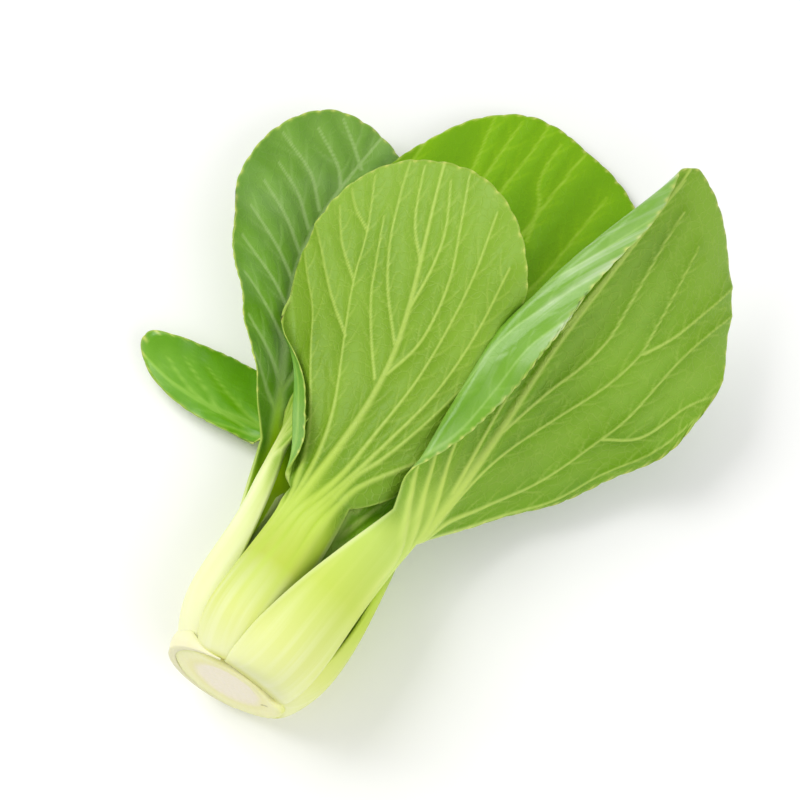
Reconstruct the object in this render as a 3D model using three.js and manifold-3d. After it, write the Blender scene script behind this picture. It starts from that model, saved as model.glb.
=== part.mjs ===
// One head of bok choy, cut from its root and lying on its side. The head's axis runs along +Y from
// the cut face, +Z is up, and the surface that it lies on is z = 0. Millimetres and degrees.
// Every leaf is one closed body: a thick, cupped stalk that runs out into a thin blade.

import * as THREE from 'three';
import { mergeVertices } from 'three/addons/utils/BufferGeometryUtils.js';
import Module from 'manifold-3d';

const axisHeight = 27;       // radius of the swollen base, which lies on the surface
const cutTilt = 10.5;        // the knife leaned: its plane turns about X, so that the face looks up a little
const cutDrop = 0.3;         // and meets the axis this far below the leaves' datum
const touchGap = 0.35;       // clearance between pieces that press on each other
const floorClearance = 0.9;  // height of a blade's middle surface where it lies on the surface
const floorBlend = 2;        // how softly a sagging blade levels out

// Along a leaf, s is 0 at the foot, 1 at the neck where the stalk becomes the blade, and 2 at the tip.
const stations = [0, 0.35, 1, 1.5, 2];

// around          place of the leaf round the axis, 0 at +X and 90 on top
// foot, radius    where the foot stands, along the axis and away from it
// stalk, blade    their lengths along the midrib
// lean            outward lean from the axis at the stations
// sweep, twist    sideways lean, and roll about the leaf's own midrib
// base, mid, neck widths of the stalk
// left, right     half widths of the blade, seen from outside with the tip up
// widest, round   where along the blade it is widest, and how square its end is, left and right
// pinch           share by which the blade is narrower on its left, towards the tip
// shoulder        below 1, the blade widens sooner above the neck
// cup             angle that the section closes by, from midrib to margin
// rollLeft/Right  margin turned over: it starts this far from the midrib, bends within over, by turn
// thick, columns  thickest part of the stalk, and columns of the leaf's grid
const leafShapes = [
  {
    name: 'right_leaf', around: 48, foot: -1, radius: 16, stalk: 76, blade: 155,
    lean: [52, 8, 2, 26, 8], sweep: [4, -7, -14, 4, -5], twist: [0, -4, -14, 21, 0],
    base: 29, mid: 35.5, neck: 16.5, left: 41, right: 56,
    widest: 0.6, round: [1.12, 2.3], pinch: 0.33, cup: [45, 65, 12, 10, 34],
    rollLeft: { from: [30, 25, 12, 16, 2.5], over: 7, turn: [0, 0, 150, 156, 170] },
    thick: 8, columns: 17, colour: '#7fae45',
  },
  {
    name: 'left_leaf', around: 164, foot: 3.8, radius: 16.3, stalk: 74, blade: 58,
    lean: [33, -2, 5.5, -5, 0], sweep: [1, 2, 9, 15, 12], twist: [0, 5, -6, -46, -60],
    base: 20, mid: 23, neck: 9, left: 9, right: 12,
    widest: 0.55, round: [2.2, 2.2], cup: [72, 67, 26, 30, 10],
    thick: 7, columns: 9, colour: '#86b84a',
  },
  {
    name: 'low_leaf_right', around: 325, foot: -1, radius: 17.2, stalk: 72, blade: 112,
    lean: [34, 4, -2, 16, 10], sweep: [6, 6, 4, 2, 2], twist: [0, -10, -25, -58, -62],
    base: 22, mid: 38, neck: 20, left: 24, right: 20,
    widest: 0.55, round: [2.2, 2.2], cup: [70, 60, 40, 12, 5],
    thick: 7.5, columns: 9, colour: '#6fa33e',
  },
  {
    name: 'front_leaf', around: 109, foot: 4, radius: 16, stalk: 64, blade: 120,
    lean: [31, -2, -9, 22, 12], sweep: [3, -7, 2, 3, 8], twist: [0, 0, 0],
    base: 20, mid: 30, neck: 23, left: 46, right: 44,
    widest: 0.58, round: [2.3, 2.3], shoulder: 0.75, cup: [80, 68, 23, 18, 8],
    rollLeft: { from: [30, 25, 12, 43, 62], over: 5, turn: [0, 0, 150, 150, 0] },
    rollRight: { from: [30, 25, 17, 30, 45], over: 6, turn: [0, 0, -45, -55, -20] },
    thick: 7.5, columns: 17, colour: '#8dba4c',
  },
  {
    name: 'low_leaf_left', around: 222, foot: -1, radius: 13.8, stalk: 81, blade: 81,
    lean: [32, -3, 27, 96, 62], sweep: [-3, 6, -6, -54, -45], twist: [0, 5, 15, 78, 101],
    base: 20, mid: 32, neck: 12, left: 13.4, right: 14.6,
    widest: 0.3, round: [2.2, 2.2], cup: [70, 50, 35, -12, 5],
    thick: 7, columns: 9, colour: '#79b03a',
  },
  {
    name: 'back_leaf_right', around: 280, foot: -1.6, radius: 15, stalk: 87.6, blade: 154,
    lean: [34, 2, -8, 7, 0.5], sweep: [0, -1, -5, 7.5, 15], twist: [0, 0, -3, -17, -19],
    base: 22, mid: 40, neck: 22, left: 57, right: 49.5,
    widest: 0.51, round: [3.1, 2.9], cup: [70, 50, 35, 12, 0],
    thick: 7.5, columns: 11, colour: '#82bb35',
  },
  {
    name: 'back_leaf_left', around: 246, foot: 8, radius: 8.5, stalk: 76, blade: 128.5,
    lean: [22, 7, 7, 9.5, -3], sweep: [-6, -18, -14, -20, -14], twist: [0, 0, -8, 1, 5],
    base: 14, mid: 26, neck: 18, left: 39, right: 32.5,
    widest: 0.65, round: [2, 1.7], cup: [70, 50, 35, 15, 0],
    thick: 4.5, columns: 11, colour: '#4f8f36',
  },
  {
    name: 'heart_leaf_1', around: 52, foot: 7, radius: 9.5, stalk: 38, blade: 50,
    lean: [14, 3, 6, 5, 0], sweep: [0, 0, 0], twist: [0, 12, 24, 30, 30],
    base: 16, mid: 18, neck: 14, left: 10, right: 17,
    widest: 0.52, round: [2.2, 2.2], cup: [75, 60, 45, 40, 30],
    thick: 4, columns: 7, colour: '#6aa53c',
  },
  {
    name: 'heart_leaf_2', around: 150, foot: 12, radius: 7, stalk: 50, blade: 66,
    lean: [14, 3, 0, 2, 4], sweep: [0, 0, 0], twist: [0, 0, 0],
    base: 16, mid: 17, neck: 11, left: 16, right: 16,
    widest: 0.52, round: [2.2, 2.2], cup: [80, 75, 75, 80, 50],
    thick: 3.5, columns: 7, colour: '#74ad40',
  },
  {
    name: 'heart_leaf_3', around: 268, foot: 14, radius: 5.5, stalk: 40, blade: 52,
    lean: [12, 2, 0, 2, 2], sweep: [0, 0, 0], twist: [0, 0, 0],
    base: 12, mid: 13, neck: 9, left: 11, right: 11,
    widest: 0.52, round: [2.2, 2.2], cup: [85, 85, 85, 90, 60],
    thick: 3, columns: 7, colour: '#86ba48',
  },
];

// Where a stalk's width is read between foot and neck, as shares of its length and of its widths.
const outline = { heelAt: 0.12, heelShare: 0.8, midAt: 0.3, waistAt: 0.7, waistShare: 0.45 };

// Share of the full thickness along a leaf, from foot to tip.
const fullness = [[0, 0.8], [0.3, 1], [1, 0.5], [1.3, 0.26], [2, 0]];

const stalkRows = 8;         // rows of the leaf grid from foot to neck
const bladeRows = 10;        // and from the neck to the widest part of the blade
const marginThick = 1.8;     // thickness of a stalk at its margins
const laminaThick = 1;       // thickness of a blade
const ribSpread = 5;         // half width of the midrib where it enters the blade
const ribTip = 1.2;          // and at the tip
const outerShare = 0.7;      // how much of a stalk's swelling lies on its outside
const ribTaper = 1.5;        // how soon the midrib narrows above the neck
const tipPower = 1.6;        // how late the rows of a blade bend up towards its tip
const pinchBetween = [1.4, 1.75];   // stations between which a blade's left half narrows
const crowding = 0.65;       // how far the columns crowd towards the margins
const ribSteps = 200;        // steps of the midrib curve
const normalReach = 0.4;     // distance over which the surface's slope is read
const straight = 1e-6;       // a bend below this is a straight line
const weld = 1e-4;           // corners closer than this are one
const sliver = 0.05;         // what a cut leaves that is thinner than this is dropped
const knifeReach = 200;      // size of the block that stands for all that the knife took away

// The stem: a short disc where the head was cut, and the cone inside it that carries the leaves.
const stem = {
  cutRadius: 20.4, edgeRound: 1, discHeight: 2.6, coreRadius: 9, coreTopRadius: 2, coreHeight: 11,
  sides: 40, colour: '#eef2cf',
};

// What is left of an outer leaf that was trimmed away: a thin scale that clasps the cut end like a
// collar. It is highest in the middle and runs out thin and low at both ends.
const stub = {
  name: 'trimmed_stub', around: 188, halfSpan: 90, inner: 20.8, flare: 2.2, height: 9,
  wall: [2, 2.4, 0.8], runOut: 0.93, lateness: 1.6, steps: 20, levels: [0, 0.5, 1], colour: '#eef0cc',
};

const rad = THREE.MathUtils.degToRad;

// A smooth curve through keys [position, value], flat outside them.
function alongKeys(keys, s) {
  const last = keys.length - 1;
  if (last === 0) {
    return keys[0][1];
  }
  const at = THREE.MathUtils.clamp(s, keys[0][0], keys[last][0]);
  let i = 0;
  while (i < last - 1 && at > keys[i + 1][0]) {
    i += 1;
  }
  const slope = (a, b) => (keys[b][1] - keys[a][1]) / (keys[b][0] - keys[a][0]);
  const before = i === 0 ? slope(0, 1) : slope(i - 1, i + 1);
  const after = i + 1 === last ? slope(last - 1, last) : slope(i, i + 2);
  const span = keys[i + 1][0] - keys[i][0];
  const t = (at - keys[i][0]) / span;
  const rise = t * t * (3 - 2 * t);
  const lift = (t - 1) * (t - 1) * t * span * before + (t - 1) * t * t * span * after;
  return keys[i][1] * (1 - rise) + keys[i + 1][1] * rise + lift;
}

// Three values stand for foot, neck and tip, five for all the stations.
function keysFrom(values) {
  const places = values.length === 3 ? [0, 1, 2] : stations;
  return values.map((value, i) => [places[i], value]);
}

function stationAt(leaf, x) {
  return x < leaf.stalk ? x / leaf.stalk : 1 + (x - leaf.stalk) / leaf.blade;
}

// The midrib as a chain of points with the leaf's own directions: along it, outward, to its right.
function midrib(leaf) {
  const length = leaf.stalk + leaf.blade;
  const around = rad(leaf.around);
  const axis = new THREE.Vector3(0, 1, 0);
  const radial = new THREE.Vector3(Math.cos(around), 0, Math.sin(around));
  const tangent = new THREE.Vector3(-Math.sin(around), 0, Math.cos(around));
  const leanKeys = keysFrom(leaf.lean);
  const sweepKeys = keysFrom(leaf.sweep);
  const twistKeys = keysFrom(leaf.twist);
  const point = new THREE.Vector3(0, leaf.foot, axisHeight).addScaledVector(radial, leaf.radius);
  const chain = [];
  for (let i = 0; i <= ribSteps; i += 1) {
    const x = (length * i) / ribSteps;
    const s = stationAt(leaf, x);
    const lean = rad(alongKeys(leanKeys, s));
    const sweep = rad(alongKeys(sweepKeys, s));
    const twist = rad(alongKeys(twistKeys, s));
    const along = new THREE.Vector3()
      .addScaledVector(axis, Math.cos(lean) * Math.cos(sweep))
      .addScaledVector(radial, Math.sin(lean) * Math.cos(sweep))
      .addScaledVector(tangent, Math.sin(sweep));
    const facing = new THREE.Vector3()
      .addScaledVector(axis, -Math.sin(lean))
      .addScaledVector(radial, Math.cos(lean));
    const right = new THREE.Vector3().crossVectors(along, facing).normalize();
    const outward = new THREE.Vector3().crossVectors(right, along);
    if (i > 0) {
      const half = length / ribSteps / 2;
      point.addScaledVector(chain[i - 1].along, half).addScaledVector(along, half);
    }
    chain.push({
      point: point.clone(),
      along,
      right: right.clone().multiplyScalar(Math.cos(twist)).addScaledVector(outward, Math.sin(twist)),
      outward: outward.multiplyScalar(Math.cos(twist)).addScaledVector(right, -Math.sin(twist)),
    });
  }
  return { chain, length };
}

function midribAt(rib, x) {
  const place = (x / rib.length) * (rib.chain.length - 1);
  const i = THREE.MathUtils.clamp(Math.floor(place), 0, rib.chain.length - 2);
  const mix = (key) => rib.chain[i][key].clone().lerp(rib.chain[i + 1][key], place - i);
  return { point: mix('point'), right: mix('right'), outward: mix('outward') };
}

// Half width of the leaf at x, up to the widest part of its blade.
function halfWidth(leaf, side, x) {
  const widest = side < 0 ? leaf.left : leaf.right;
  const s = x / leaf.stalk;
  if (s < 1) {
    const heel = THREE.MathUtils.lerp(leaf.base, leaf.mid, outline.heelShare);
    const waist = THREE.MathUtils.lerp(leaf.neck, leaf.mid, outline.waistShare);
    const keys = [
      [0, leaf.base], [outline.heelAt, heel], [outline.midAt, leaf.mid],
      [outline.waistAt, waist], [1, leaf.neck],
    ];
    return alongKeys(keys, s) / 2;
  }
  const rise = THREE.MathUtils.clamp((x - leaf.stalk) / (leaf.blade * leaf.widest), 0, 1);
  const swell = Math.sin((Math.PI / 2) * rise ** (leaf.shoulder ?? 1));
  return leaf.neck / 2 + (widest - leaf.neck / 2) * swell;
}

// Follows a chain of circular arcs across the leaf and says how far out and down it comes.
function acrossArcs(distance, arcs) {
  let rest = distance;
  let heading = 0;
  let out = 0;
  let down = 0;
  for (const { length, bend } of arcs) {
    const run = Math.min(rest, length);
    const curve = Math.abs(bend) < straight ? straight : bend;
    const next = heading + curve * run;
    out += (Math.sin(next) - Math.sin(heading)) / curve;
    down += (Math.cos(heading) - Math.cos(next)) / curve;
    heading = next;
    rest -= run;
  }
  return { out, down };
}

// A point of the leaf's middle surface, x along it from the foot and y across it to the right.
function surfacePoint(leaf, rib, x, y) {
  const s = stationAt(leaf, x);
  const side = y < 0 ? -1 : 1;
  const widestAt = leaf.stalk + leaf.blade * leaf.widest;
  const bend = rad(alongKeys(keysFrom(leaf.cup), s)) / halfWidth(leaf, side, Math.min(x, widestAt));
  const arcs = [{ length: Infinity, bend }];
  const roll = side < 0 ? leaf.rollLeft : leaf.rollRight;
  if (roll) {
    const { from, over, turn } = roll;
    const turned = rad(alongKeys(keysFrom(turn), s));
    arcs[0].length = alongKeys(keysFrom(from), s);
    arcs.push({ length: over, bend: bend - turned / over }, { length: Infinity, bend: 0 });
  }
  const { out, down } = acrossArcs(Math.abs(y), arcs);
  const { point, right, outward } = midribAt(rib, x);
  point.addScaledVector(right, side * out).addScaledVector(outward, -down);
  const above = (point.z - floorClearance) / floorBlend;
  point.z = floorClearance + floorBlend * (above > 0
    ? above + Math.log1p(Math.exp(-above))
    : Math.log1p(Math.exp(above)));
  return point;
}

function outwardNormal(leaf, rib, x, y) {
  const alongX = surfacePoint(leaf, rib, x + normalReach, y)
    .sub(surfacePoint(leaf, rib, x - normalReach, y));
  const alongY = surfacePoint(leaf, rib, x, y + normalReach)
    .sub(surfacePoint(leaf, rib, x, y - normalReach));
  return alongY.cross(alongX).normalize();
}

// How far the outer and the inner skin lie from the middle surface.
function skins(leaf, x, y) {
  const s = stationAt(leaf, x);
  const side = y < 0 ? -1 : 1;
  const swell = (leaf.thick - marginThick) * alongKeys(fullness, s);
  if (s < 1) {
    const across = Math.min(Math.abs(y) / halfWidth(leaf, side, x), 1);
    const margin = THREE.MathUtils.lerp(marginThick, laminaThick, s ** 2) / 2;
    const crown = swell * (1 - across * across);
    return { outer: margin + crown * outerShare, inner: margin + crown * (1 - outerShare) };
  }
  const spread = THREE.MathUtils.lerp(ribSpread, ribTip, Math.min((s - 1) * ribTaper, 1));
  const crown = swell / (1 + (y / spread) ** 2);
  return { outer: laminaThick / 2 + crown, inner: laminaThick / 2 };
}

// What is left of the blade's left half where it narrows towards the tip.
function pinchAt(leaf, x) {
  return 1 - (leaf.pinch ?? 0) * THREE.MathUtils.smoothstep(stationAt(leaf, x), ...pinchBetween);
}

// The flat grid of a leaf: rows from foot to the widest part, the last of them bent up to the tip.
// Each place also says how far a leaf that is grown by the given amount reaches past it.
function leafGrid(leaf, grow) {
  const widestAt = leaf.stalk + leaf.blade * leaf.widest;
  const tipReach = leaf.blade * (1 - leaf.widest);
  const rows = [];
  for (let i = 0; i < stalkRows; i += 1) {
    rows.push((leaf.stalk * i) / stalkRows);
  }
  for (let i = 0; i < bladeRows; i += 1) {
    rows.push(leaf.stalk + ((widestAt - leaf.stalk) * i) / (bladeRows - 1));
  }
  return rows.map((row, i) => {
    const slide = grow * ((2 * i) / (rows.length - 1) - 1);
    const rise = THREE.MathUtils.clamp((row - leaf.stalk) / (widestAt - leaf.stalk), 0, 1);
    const places = [];
    for (let j = 0; j < leaf.columns; j += 1) {
      const even = (2 * j) / (leaf.columns - 1) - 1;
      const t = THREE.MathUtils.lerp(even, Math.sin((even * Math.PI) / 2), crowding);
      const side = t < 0 ? -1 : 1;
      const cap = Math.sqrt(Math.max(1 - Math.abs(t) ** leaf.round[side < 0 ? 0 : 1], 0));
      const x = row + tipReach * cap * rise ** tipPower;
      const y = halfWidth(leaf, side, row) * t * (side < 0 ? pinchAt(leaf, x) : 1);
      places.push({ x, y, grownX: x + slide, grownY: y + grow * t });
    }
    return places;
  });
}

// A closed body between two skins given as grids of points, outer and inner.
function bodyBetween(outer, inner) {
  const rows = outer.length;
  const columns = outer[0].length;
  const index = [];
  const at = (skin, i, j) => (skin * rows + i) * columns + j;
  const quad = (a, b, c, d) => index.push(a, b, c, a, c, d);
  for (let i = 0; i < rows - 1; i += 1) {
    for (let j = 0; j < columns - 1; j += 1) {
      quad(at(0, i, j), at(0, i, j + 1), at(0, i + 1, j + 1), at(0, i + 1, j));
      quad(at(1, i, j), at(1, i + 1, j), at(1, i + 1, j + 1), at(1, i, j + 1));
    }
  }
  const rim = [];
  for (let j = 0; j < columns - 1; j += 1) {
    rim.push([0, j]);
  }
  for (let i = 0; i < rows - 1; i += 1) {
    rim.push([i, columns - 1]);
  }
  for (let j = columns - 1; j > 0; j -= 1) {
    rim.push([rows - 1, j]);
  }
  for (let i = rows - 1; i > 0; i -= 1) {
    rim.push([i, 0]);
  }
  rim.forEach(([i, j], k) => {
    const [nextI, nextJ] = rim[(k + 1) % rim.length];
    quad(at(1, i, j), at(1, nextI, nextJ), at(0, nextI, nextJ), at(0, i, j));
  });
  const positions = [...outer.flat(), ...inner.flat()].flatMap((point) => point.toArray());
  const geometry = new THREE.BufferGeometry();
  geometry.setAttribute('position', new THREE.Float32BufferAttribute(positions, 3));
  geometry.setIndex(index);
  return geometry;
}

// The leaf's body, grown on every side by the given amount.
function leafGeometry(leaf, grow = 0) {
  const rib = midrib(leaf);
  const outer = [];
  const inner = [];
  for (const row of leafGrid(leaf, grow)) {
    const outerRow = [];
    const innerRow = [];
    for (const { x, y, grownX, grownY } of row) {
      const point = surfacePoint(leaf, rib, grownX, grownY);
      const normal = outwardNormal(leaf, rib, grownX, grownY);
      const skin = skins(leaf, x, y);
      const outerPoint = point.clone().addScaledVector(normal, skin.outer + grow);
      const innerPoint = point.clone().addScaledVector(normal, -skin.inner - grow);
      outerPoint.z = Math.max(outerPoint.z, -grow);
      innerPoint.z = Math.max(innerPoint.z, -grow);
      outerRow.push(outerPoint);
      innerRow.push(innerPoint);
    }
    outer.push(outerRow);
    inner.push(innerRow);
  }
  return bodyBetween(outer, inner);
}

// Takes what was drawn with the cut face at y = 0 to the plane that the knife cut along.
function offCut(geometry) {
  return geometry.rotateX(-rad(cutTilt)).translate(0, -cutDrop, axisHeight);
}

// Everything on the far side of the knife.
function knifeGeometry() {
  const block = new THREE.BoxGeometry(knifeReach, knifeReach, knifeReach);
  return offCut(block.translate(0, -knifeReach / 2, 0));
}

// Disc and cone in one turned body.
function stemGeometry(grow = 0) {
  const profile = [
    [0, 0],
    [stem.cutRadius - stem.edgeRound, 0],
    [stem.cutRadius + grow, stem.edgeRound],
    [stem.cutRadius + grow, stem.discHeight + grow],
    [stem.coreRadius + grow, stem.discHeight + grow],
    [stem.coreTopRadius + grow, stem.discHeight + stem.coreHeight + grow],
    [0, stem.discHeight + stem.coreHeight + grow],
  ];
  const points = profile.map(([radius, height]) => new THREE.Vector2(radius, height));
  return offCut(new THREE.LatheGeometry(points, stem.sides));
}

// The scale as a curved wall, thickest in its middle; the wall is read foot, middle and rim.
function stubGeometry(grow = 0) {
  const outer = [];
  const inner = [];
  for (const up of stub.levels) {
    const outerRow = [];
    const innerRow = [];
    for (let j = 0; j <= stub.steps; j += 1) {
      const even = 1 - (2 * j) / stub.steps;
      const fade = 1 - stub.runOut * ((1 - Math.cos(Math.PI * even)) / 2) ** stub.lateness;
      const angle = rad(stub.around + stub.halfSpan * even);
      const height = stub.height * up * fade;
      const innerRadius = stub.inner + stub.flare * up * fade - grow;
      const wall = alongKeys(keysFrom(stub.wall), 2 * up) * Math.sqrt(fade) + 2 * grow;
      const place = (radius) => new THREE.Vector3(
        radius * Math.cos(angle), height, radius * Math.sin(angle),
      );
      outerRow.push(place(innerRadius + wall));
      innerRow.push(place(innerRadius));
    }
    outer.push(outerRow);
    inner.push(innerRow);
  }
  return offCut(bodyBetween(outer, inner));
}

const wasm = await Module();
wasm.setup();

function toSolid(geometry) {
  geometry.deleteAttribute('normal');
  geometry.deleteAttribute('uv');
  const merged = mergeVertices(geometry, weld);
  return new wasm.Manifold(new wasm.Mesh({
    numProp: 3,
    vertProperties: new Float32Array(merged.attributes.position.array),
    triVerts: new Uint32Array(merged.index.array),
  }));
}

function toGeometry(solid) {
  const mesh = solid.getMesh();
  const geometry = new THREE.BufferGeometry();
  geometry.setAttribute('position', new THREE.BufferAttribute(mesh.vertProperties, 3));
  geometry.setIndex(new THREE.BufferAttribute(mesh.triVerts, 1));
  geometry.computeVertexNormals();
  return geometry;
}

function addPiece(group, name, solid, colour) {
  const material = new THREE.MeshStandardMaterial({ color: colour, roughness: 0.5, metalness: 0 });
  const mesh = new THREE.Mesh(toGeometry(solid), material);
  mesh.name = name;
  group.add(mesh);
}

// Pieces in the order in which they give way: each is cut back where it meets the ones before it.
const head = new THREE.Group();
const makers = [
  { name: 'stem', colour: stem.colour, make: stemGeometry },
  ...leafShapes.map((leaf) => ({
    name: leaf.name, colour: leaf.colour, make: (grow) => leafGeometry(leaf, grow),
  })),
  { name: stub.name, colour: stub.colour, make: stubGeometry },
];
const knife = toSolid(knifeGeometry());
let taken = null;
for (const { name, colour, make } of makers) {
  let solid = toSolid(make(0));
  if (taken) {
    const bodies = solid.subtract(taken).subtract(knife).simplify(sliver).decompose();
    solid = bodies.reduce((best, body) => (body.volume() > best.volume() ? body : best));
  }
  addPiece(head, name, solid, colour);
  const kept = toSolid(make(touchGap)).add(solid);
  taken = taken ? taken.add(kept) : kept;
}

// The origin is the middle of the footprint, on the surface.
const box = new THREE.Box3().setFromObject(head);
head.position.set(-(box.min.x + box.max.x) / 2, -(box.min.y + box.max.y) / 2, -box.min.z);

export default head;
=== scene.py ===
import math
import bpy
import numpy as np
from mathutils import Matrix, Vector


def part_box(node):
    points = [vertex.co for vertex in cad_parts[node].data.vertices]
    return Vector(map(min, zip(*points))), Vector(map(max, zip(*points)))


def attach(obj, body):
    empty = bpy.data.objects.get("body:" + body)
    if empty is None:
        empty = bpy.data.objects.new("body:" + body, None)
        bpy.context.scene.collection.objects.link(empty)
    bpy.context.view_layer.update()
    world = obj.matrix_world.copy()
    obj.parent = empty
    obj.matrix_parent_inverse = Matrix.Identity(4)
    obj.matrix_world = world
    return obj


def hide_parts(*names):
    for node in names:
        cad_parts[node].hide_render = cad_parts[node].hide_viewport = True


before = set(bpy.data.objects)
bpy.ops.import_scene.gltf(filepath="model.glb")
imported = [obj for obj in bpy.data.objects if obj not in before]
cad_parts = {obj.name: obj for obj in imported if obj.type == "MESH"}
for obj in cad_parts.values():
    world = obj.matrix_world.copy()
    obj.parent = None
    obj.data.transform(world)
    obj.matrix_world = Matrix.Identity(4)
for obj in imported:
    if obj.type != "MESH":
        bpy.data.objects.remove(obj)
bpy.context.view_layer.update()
rng = np.random.default_rng(7)

# The head's own frame, in mm: +Y up the axis from the cut, z = 0 where it lies.
# The stem's box says where that frame sits in the row.
mm = 0.001      # in metres
axisHeight = 27
knife = dict(tilt=math.radians(10.5), drop=0.3, radius=20.4, edge=1)      # the one plane that cut all feet
stemLow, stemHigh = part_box("stem")
headX = (stemLow.x + stemHigh.x) / 2
dip = knife["drop"] + (knife["radius"] - knife["edge"]) * math.sin(knife["tilt"])
headY = stemLow.y + mm * dip


def linear(text):
    # sRGB hex to the linear values that Blender's colour sockets take
    channels = [int(text[i:i + 2], 16) / 255 for i in (1, 3, 5)]
    return tuple(c / 12.92 if c <= 0.04045 else ((c + 0.055) / 1.055) ** 2.4 for c in channels) + (1,)


def toRow(points):
    # mm in the head's frame to metres in the row's frame
    moved = np.asarray(points, float) * mm
    moved[..., 0] += headX
    moved[..., 1] += headY
    return moved


def smoothstep(low, high, value):
    t = np.clip((value - low) / (high - low), 0, 1)
    return t * t * (3 - 2 * t)


def offCut(x, height, z):
    # x and z lie in the cut face, height goes square off it into the head
    lean = knife["tilt"]
    return np.stack([x, height * math.cos(lean) + z * math.sin(lean) - knife["drop"],
                     z * math.cos(lean) - height * math.sin(lean) + axisHeight], -1)


# What all leaves share, lengths in mm. A leaf's own dictionary can say otherwise.
stations = (0, 0.35, 1, 1.5, 2)      # foot, belly, neck, mid blade, tip
spinePoints = 401
endless, nearlyStraight = 1e3, 1e-6
table = dict(clearance=0.6, blend=2, lowest=0.15)
commonForm = dict(foot=-1, thick=7.5, shoulder=1, pinch=0, sweep=(0, 0, 0), twist=(0, 0, 0), widest=0.52,
                  round=(2.2, 2.2), rollLeft=None, rollRight=None, ruffle=1.2, wave=30, quilt=0.7,
                  ribShift=(0, 0, 0, 0, 0), ribWide=3.6, veinWide=1, paleNeck=0, veinPaths=None, under={},
                  upper={})
teeth = dict(pitch=7, depth=0.5, shape=0.6, walk=0.42, rimOnly=14, onset=(0.05, 0.25), dotEvery=0.8,
             dotFrom=1.15, dotWide=0.75)


def alongKeys(values, s, places=None):
    # smooth curve through keys; three values stand for foot, neck and tip, five for all the stations
    if places is None:
        places = (0, 1, 2) if len(values) == 3 else stations
    places, values = np.asarray(places, float), np.asarray(values, float)
    slopes = np.empty(len(values))
    slopes[0] = (values[1] - values[0]) / (places[1] - places[0])
    slopes[-1] = (values[-1] - values[-2]) / (places[-1] - places[-2])
    slopes[1:-1] = (values[2:] - values[:-2]) / (places[2:] - places[:-2])
    s = np.clip(s, places[0], places[-1])
    i = np.clip(np.searchsorted(places, s, side="right") - 1, 0, len(places) - 2)
    span = places[i + 1] - places[i]
    t = (s - places[i]) / span
    rise = t * t * (3 - 2 * t)
    lift = (t - 1) ** 2 * t * span * slopes[i] + (t - 1) * t * t * span * slopes[i + 1]
    return values[i] * (1 - rise) + values[i + 1] * rise + lift


def stationAt(leaf, x):
    return np.where(x < leaf["stalk"], x / leaf["stalk"], 1 + (x - leaf["stalk"]) / leaf["blade"])


def spineOf(leaf):
    # the midrib as a dense chain of points with its own directions
    length = leaf["stalk"] + leaf["blade"]
    x = np.linspace(0, length, spinePoints)
    s = stationAt(leaf, x)
    lean, sweep, twist = (np.radians(alongKeys(leaf[key], s)) for key in ("lean", "sweep", "twist"))
    around = math.radians(leaf["around"])
    axis = np.array([0, 1.0, 0])
    radial = np.array([math.cos(around), 0, math.sin(around)])
    tangent = np.array([-math.sin(around), 0, math.cos(around)])
    along = (np.outer(np.cos(lean) * np.cos(sweep), axis) + np.outer(np.sin(lean) * np.cos(sweep), radial)
             + np.outer(np.sin(sweep), tangent))
    facing = np.outer(-np.sin(lean), axis) + np.outer(np.cos(lean), radial)
    right = np.cross(along, facing)
    right /= np.linalg.norm(right, axis=1)[:, None]
    outward = np.cross(right, along)
    turnedRight = right * np.cos(twist)[:, None] + outward * np.sin(twist)[:, None]
    turnedOut = outward * np.cos(twist)[:, None] - right * np.sin(twist)[:, None]
    start = np.array([0, leaf["foot"], axisHeight]) + radial * leaf["radius"]
    steps = (along[1:] + along[:-1]) / 2 * (length / (spinePoints - 1))
    points = np.vstack([start, start + np.cumsum(steps, axis=0)])
    return {"x": x, "point": points, "right": turnedRight, "outward": turnedOut}


def halfWidth(leaf, side, x):
    # the stalk swells from foot to belly and narrows to the neck, then the blade opens to its widest
    s = x / leaf["stalk"]
    stalkPlaces = (0, 0.12, 0.3, 0.7, 1)
    widths = (leaf["base"], leaf["base"] * 0.2 + leaf["mid"] * 0.8, leaf["mid"],
              leaf["neck"] * 0.55 + leaf["mid"] * 0.45, leaf["neck"])
    stalk = alongKeys(widths, s, stalkPlaces) / 2
    widest = leaf["left"] if side < 0 else leaf["right"]
    rise = np.clip((x - leaf["stalk"]) / (leaf["blade"] * leaf["widest"]), 0, 1) ** leaf["shoulder"]
    blade = leaf["neck"] / 2 + (widest - leaf["neck"] / 2) * np.sin(math.pi / 2 * rise)
    return np.where(s < 1, stalk, blade)


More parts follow.
